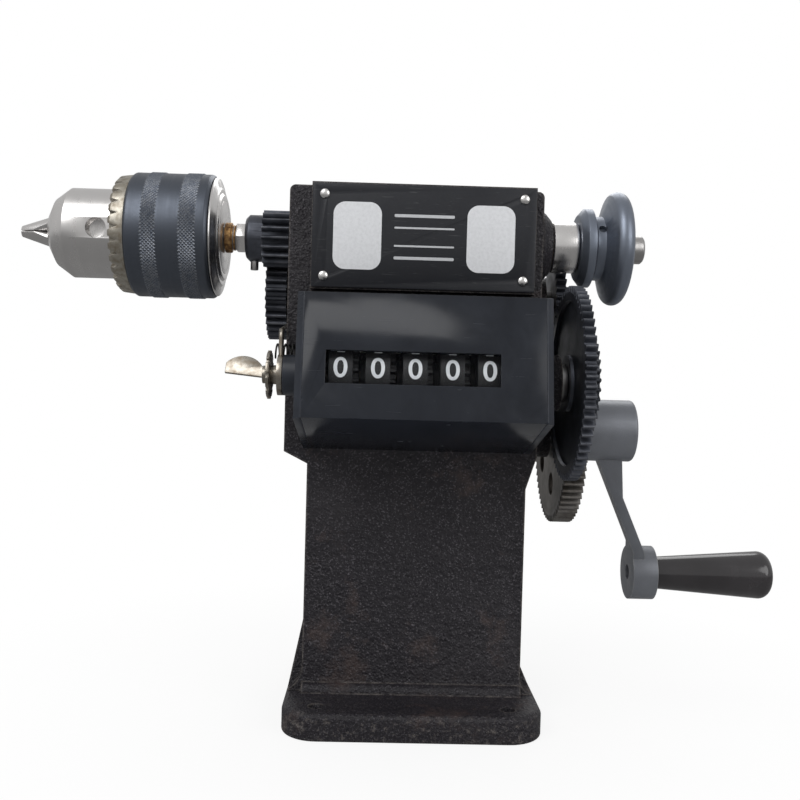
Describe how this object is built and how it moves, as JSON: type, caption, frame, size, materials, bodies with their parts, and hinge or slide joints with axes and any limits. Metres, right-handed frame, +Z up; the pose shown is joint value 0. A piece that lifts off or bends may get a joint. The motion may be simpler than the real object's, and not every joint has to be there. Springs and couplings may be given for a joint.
{
  "type": "wire coil winding machine",
  "caption": "Hand-cranked bench coil winder: cast stand, exposed spur gear train, key chuck, belt pulley and a resettable turns counter.",
  "frame": {"origin": "centre of the base bolt pattern, on the underside of the base", "axes": "+X along the spindle from the chuck to the belt pulley, -Y towards the operator and the counter, +Z up"},
  "size_m": [0.2887, 0.126, 0.1866],
  "materials": {
    "casting": "rough sand-cast iron under thin black paint",
    "steel": "turned bright steel",
    "dark_steel": "blued steel with a satin turned surface",
    "black_gear": "black oxide, satin",
    "brown_gear": "oiled cut steel, slightly browned",
    "bronze": "oil-stained sintered bronze",
    "rusty": "tarnished brass",
    "plate": "printed sheet metal with a dark border",
    "rivet": "bright rivets",
    "shell": "glossy black moulded plastic",
    "pane": "clear glossy window",
    "wheel": "black moulded plastic with white numerals",
    "pinion": "pale moulded plastic",
    "nickel": "thin nickel plate, a little tarnished",
    "arm": "cast aluminium, tumbled grey",
    "grip": "glossy black-brown moulded handle"
  },
  "bodies": {
    "stand": {"base_casting": "casting", "name_plate": "plate", "plate_rivets": "rivet", "spindle_bush_left": "bronze", "spindle_bush_right": "bronze", "layshaft_bush_left": "bronze", "layshaft_bush_right": "bronze", "crank_bush": "bronze", "intermediate_stud": "steel", "counter_case": "shell", "counter_window": "pane", "counter_cover_left": "shell", "counter_cover_right": "shell", "counter_screws": "steel", "transfer_rod": "steel"},
    "spindle": {"spindle": "steel", "spindle_washer": "rusty", "spindle_nut": "steel", "spindle_gear": "black_gear", "spindle_gear_screw": "dark_steel", "thrust_collar": "steel", "thrust_collar_screw": "dark_steel", "belt_pulley": "dark_steel", "pulley_screw": "dark_steel", "chuck_body": "steel", "chuck_flange": "steel"},
    "sleeve": {"chuck_sleeve": "dark_steel", "chuck_ring": "nickel"},
    "jaw_1": {"chuck_jaw_1": "steel"},
    "jaw_2": {"chuck_jaw_2": "steel"},
    "jaw_3": {"chuck_jaw_3": "steel"},
    "layshaft": {"layshaft": "steel", "layshaft_gear": "black_gear", "feeler_cam": "black_gear", "layshaft_pinion": "black_gear"},
    "intermediate": {"intermediate_gear": "black_gear", "intermediate_pinion": "black_gear"},
    "crank": {"crank_shaft": "steel", "crank_shaft_collar": "steel", "crank_gear": "brown_gear", "crank_arm": "arm", "handle_bolt": "steel"},
    "handle": {"handle_grip": "grip", "grip_cap": "grip"},
    "reset": {"reset_shaft": "nickel", "reset_ratchet": "nickel", "reset_wing": "nickel"},
    "feeler": {"feeler_lever": "nickel"},
    "wheel_1": {"number_wheel_1": "wheel"},
    "wheel_2": {"number_wheel_2": "wheel"},
    "wheel_3": {"number_wheel_3": "wheel"},
    "wheel_4": {"number_wheel_4": "wheel"},
    "wheel_5": {"number_wheel_5": "wheel"},
    "pinion_1": {"transfer_pinion_1": "pinion"},
    "pinion_2": {"transfer_pinion_2": "pinion"},
    "pinion_3": {"transfer_pinion_3": "pinion"},
    "pinion_4": {"transfer_pinion_4": "pinion"}
  },
  "joints": [
    {"name": "spindle_turn", "type": "hinge", "parent": "stand", "child": "spindle", "pos_m": [0, -0.011, 0.165], "axis": [1, 0, 0], "continuous": true},
    {"name": "layshaft_turn", "type": "hinge", "parent": "stand", "child": "layshaft", "pos_m": [0, 0.00635, 0.147], "axis": [1, 0, 0], "continuous": true},
    {"name": "intermediate_turn", "type": "hinge", "parent": "stand", "child": "intermediate", "pos_m": [0.05, -0.02892, 0.1167], "axis": [1, 0, 0], "continuous": true},
    {"name": "crank_turn", "type": "hinge", "parent": "stand", "child": "crank", "pos_m": [0.05, 0.01979, 0.0985], "axis": [1, 0, 0], "continuous": true},
    {"name": "handle_turn", "type": "hinge", "parent": "crank", "child": "handle", "pos_m": [0.12, 0.03499, 0.0399], "axis": [1, 0, 0], "continuous": true},
    {"name": "sleeve_turn", "type": "hinge", "parent": "spindle", "child": "sleeve", "pos_m": [-0.09, -0.011, 0.165], "axis": [1, 0, 0], "range_deg": [0, 3600]},
    {"name": "reset_turn", "type": "hinge", "parent": "stand", "child": "reset", "pos_m": [-0.04, -0.05166, 0.11698], "axis": [1, 0, 0], "continuous": true},
    {"name": "feeler_swing", "type": "hinge", "parent": "stand", "child": "feeler", "pos_m": [-0.045, -0.05166, 0.11698], "axis": [1, 0, 0], "range_deg": [-8, 0]},
    {"name": "jaw_1_slide", "type": "slide", "parent": "spindle", "child": "jaw_1", "axis": [0.9659, 0.2588, 0], "range_m": [0, 0.0175]},
    {"name": "jaw_2_slide", "type": "slide", "parent": "spindle", "child": "jaw_2", "axis": [0.9659, -0.1294, 0.2241], "range_m": [0, 0.0175]},
    {"name": "jaw_3_slide", "type": "slide", "parent": "spindle", "child": "jaw_3", "axis": [0.9659, -0.1294, -0.2241], "range_m": [0, 0.0175]},
    {"name": "wheel_1_turn", "type": "hinge", "parent": "stand", "child": "wheel_1", "pos_m": [0, -0.05166, 0.11698], "axis": [1, 0, 0], "continuous": true},
    {"name": "wheel_2_turn", "type": "hinge", "parent": "stand", "child": "wheel_2", "pos_m": [0, -0.05166, 0.11698], "axis": [1, 0, 0], "continuous": true},
    {"name": "wheel_3_turn", "type": "hinge", "parent": "stand", "child": "wheel_3", "pos_m": [0, -0.05166, 0.11698], "axis": [1, 0, 0], "continuous": true},
    {"name": "wheel_4_turn", "type": "hinge", "parent": "stand", "child": "wheel_4", "pos_m": [0, -0.05166, 0.11698], "axis": [1, 0, 0], "continuous": true},
    {"name": "wheel_5_turn", "type": "hinge", "parent": "stand", "child": "wheel_5", "pos_m": [0, -0.05166, 0.11698], "axis": [1, 0, 0], "continuous": true},
    {"name": "pinion_1_turn", "type": "hinge", "parent": "stand", "child": "pinion_1", "pos_m": [0, -0.04431, 0.12971], "axis": [1, 0, 0], "continuous": true},
    {"name": "pinion_2_turn", "type": "hinge", "parent": "stand", "child": "pinion_2", "pos_m": [0, -0.04431, 0.12971], "axis": [1, 0, 0], "continuous": true},
    {"name": "pinion_3_turn", "type": "hinge", "parent": "stand", "child": "pinion_3", "pos_m": [0, -0.04431, 0.12971], "axis": [1, 0, 0], "continuous": true},
    {"name": "pinion_4_turn", "type": "hinge", "parent": "stand", "child": "pinion_4", "pos_m": [0, -0.04431, 0.12971], "axis": [1, 0, 0], "continuous": true}
  ],
  "couplings": [
    {"joint": "layshaft_turn", "follows": "spindle_turn", "ratio": -0.5625},
    {"joint": "intermediate_turn", "follows": "spindle_turn", "ratio": 0.25488},
    {"joint": "crank_turn", "follows": "spindle_turn", "ratio": -0.1238},
    {"joint": "wheel_1_turn", "follows": "spindle_turn", "ratio": 0.1},
    {"joint": "wheel_2_turn", "follows": "spindle_turn", "ratio": 0.01},
    {"joint": "wheel_3_turn", "follows": "spindle_turn", "ratio": 0.001},
    {"joint": "wheel_4_turn", "follows": "spindle_turn", "ratio": 0.0001},
    {"joint": "wheel_5_turn", "follows": "spindle_turn", "ratio": 0.00001},
    {"joint": "pinion_1_turn", "follows": "spindle_turn", "ratio": -0.025},
    {"joint": "pinion_2_turn", "follows": "spindle_turn", "ratio": -0.0025},
    {"joint": "pinion_3_turn", "follows": "spindle_turn", "ratio": -0.00025},
    {"joint": "pinion_4_turn", "follows": "spindle_turn", "ratio": -0.000025},
    {"joint": "jaw_1_slide", "follows": "sleeve_turn", "m_per_rad": 0.00027849},
    {"joint": "jaw_2_slide", "follows": "sleeve_turn", "m_per_rad": 0.00027849},
    {"joint": "jaw_3_slide", "follows": "sleeve_turn", "m_per_rad": 0.00027849}
  ]
}
